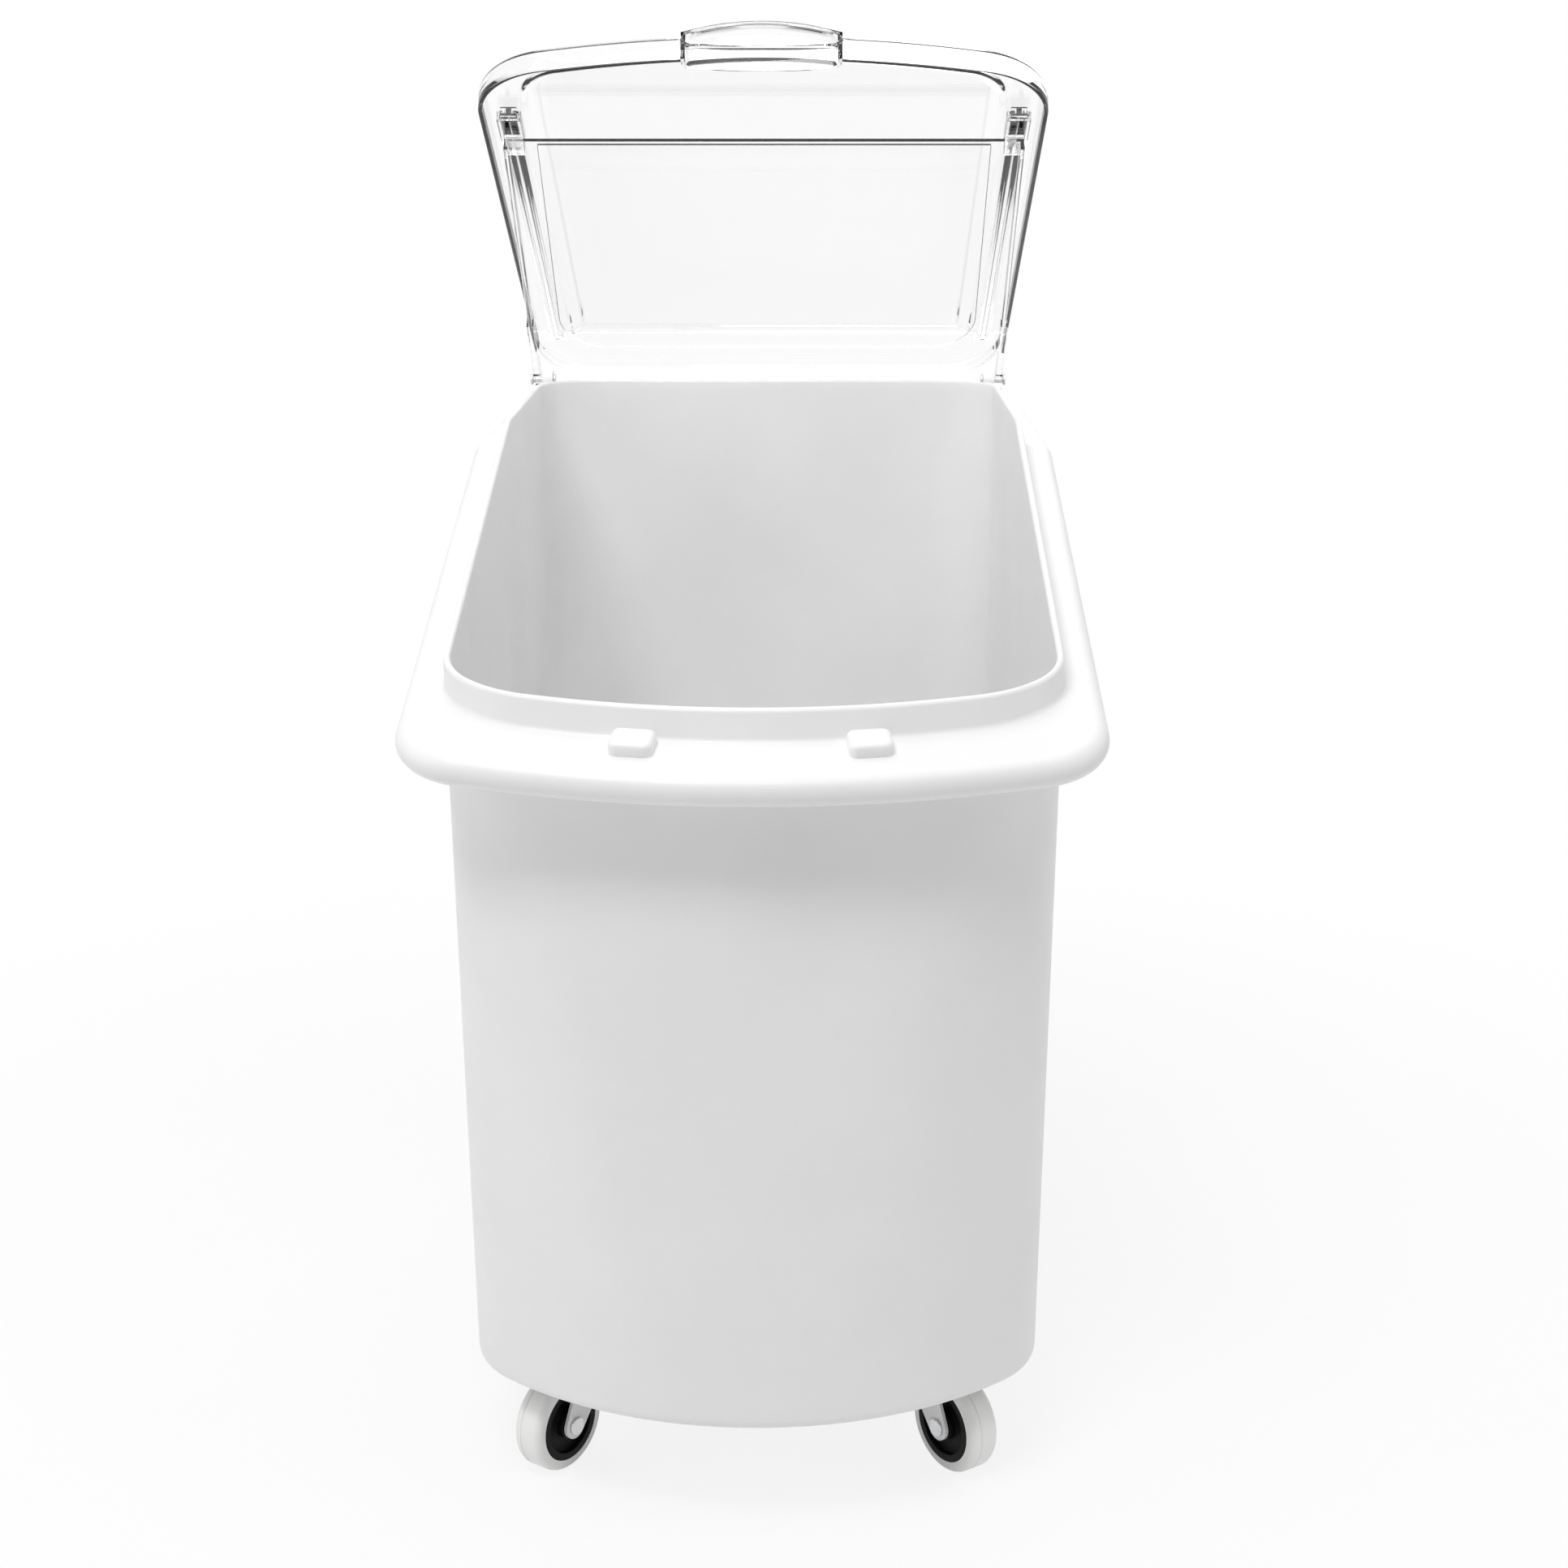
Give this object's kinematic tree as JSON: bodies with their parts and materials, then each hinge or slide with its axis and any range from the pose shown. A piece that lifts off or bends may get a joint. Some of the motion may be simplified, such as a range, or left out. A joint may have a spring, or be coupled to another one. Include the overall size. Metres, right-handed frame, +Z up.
{
  "type": "rolling ingredient bin",
  "caption": "White moulded ingredient bin with a slanted mouth, a clear lid that swings up and slides back, and swivel casters, for flour and other dry goods.",
  "frame": {"origin": "on the floor below the middle of the rim", "axes": "+X to the bin's right as seen from its front, +Y to its back, +Z up"},
  "size_m": [0.42, 0.8817, 0.9299],
  "materials": {
    "tub": "satin",
    "clear_lid": "clear gloss",
    "steel": "bright zinc",
    "fork": "white coat",
    "core": "black gloss",
    "tyre": "satin",
    "bush": "satin"
  },
  "bodies": {
    "bin": {"tub": "tub", "left_hinge_pin": "steel", "right_hinge_pin": "steel", "caster_bolts": "steel", "front_left_plate": "steel", "front_left_kingpin": "steel", "front_right_plate": "steel", "front_right_kingpin": "steel", "rear_left_plate": "steel", "rear_left_kingpin": "steel", "rear_right_plate": "steel", "rear_right_kingpin": "steel"},
    "rear_lid": {"rear_lid": "clear_lid", "left_guide_clip": "clear_lid", "right_guide_clip": "clear_lid"},
    "front_lid": {"front_lid": "clear_lid"},
    "front_left_swivel": {"front_left_fork": "fork", "front_left_axle": "steel", "front_left_bush": "bush", "front_left_bearing_balls": "steel"},
    "front_left_wheel": {"front_left_hub": "core", "front_left_tyre": "tyre"},
    "front_right_swivel": {"front_right_fork": "fork", "front_right_axle": "steel", "front_right_bush": "bush", "front_right_bearing_balls": "steel"},
    "front_right_wheel": {"front_right_hub": "core", "front_right_tyre": "tyre"},
    "rear_left_swivel": {"rear_left_fork": "fork", "rear_left_axle": "steel", "rear_left_bush": "bush", "rear_left_bearing_balls": "steel"},
    "rear_left_wheel": {"rear_left_hub": "core", "rear_left_tyre": "tyre"},
    "rear_right_swivel": {"rear_right_fork": "fork", "rear_right_axle": "steel", "rear_right_bush": "bush", "rear_right_bearing_balls": "steel"},
    "rear_right_wheel": {"rear_right_hub": "core", "rear_right_tyre": "tyre"}
  },
  "joints": [
    {"name": "lid_hinge", "type": "hinge", "parent": "bin", "child": "rear_lid", "pos_m": [0, 0.361, 0.652], "axis": [-1, 0, 0], "range_deg": [-44.6, 50]},
    {"name": "lid_slide", "type": "slide", "parent": "rear_lid", "child": "front_lid", "axis": [0, -0.8712, 0.4909], "range_m": [0, 0.35]},
    {"name": "front_left_swivel", "type": "hinge", "parent": "bin", "child": "front_left_swivel", "pos_m": [-0.114, -0.218, 0.08], "axis": [0, 0, 1], "continuous": true},
    {"name": "front_left_roll", "type": "hinge", "parent": "front_left_swivel", "child": "front_left_wheel", "pos_m": [-0.13163, -0.24227, 0.0325], "axis": [-0.809, 0.5878, 0], "continuous": true},
    {"name": "front_right_swivel", "type": "hinge", "parent": "bin", "child": "front_right_swivel", "pos_m": [0.114, -0.218, 0.08], "axis": [0, 0, 1], "continuous": true},
    {"name": "front_right_roll", "type": "hinge", "parent": "front_right_swivel", "child": "front_right_wheel", "pos_m": [0.13163, -0.24227, 0.0325], "axis": [-0.809, -0.5878, 0], "continuous": true},
    {"name": "rear_left_swivel", "type": "hinge", "parent": "bin", "child": "rear_left_swivel", "pos_m": [-0.114, 0.248, 0.08], "axis": [0, 0, 1], "continuous": true},
    {"name": "rear_left_roll", "type": "hinge", "parent": "rear_left_swivel", "child": "rear_left_wheel", "pos_m": [-0.13163, 0.27227, 0.0325], "axis": [0.809, 0.5878, 0], "continuous": true},
    {"name": "rear_right_swivel", "type": "hinge", "parent": "bin", "child": "rear_right_swivel", "pos_m": [0.114, 0.248, 0.08], "axis": [0, 0, 1], "continuous": true},
    {"name": "rear_right_roll", "type": "hinge", "parent": "rear_right_swivel", "child": "rear_right_wheel", "pos_m": [0.13163, 0.27227, 0.0325], "axis": [0.809, -0.5878, 0], "continuous": true}
  ]
}
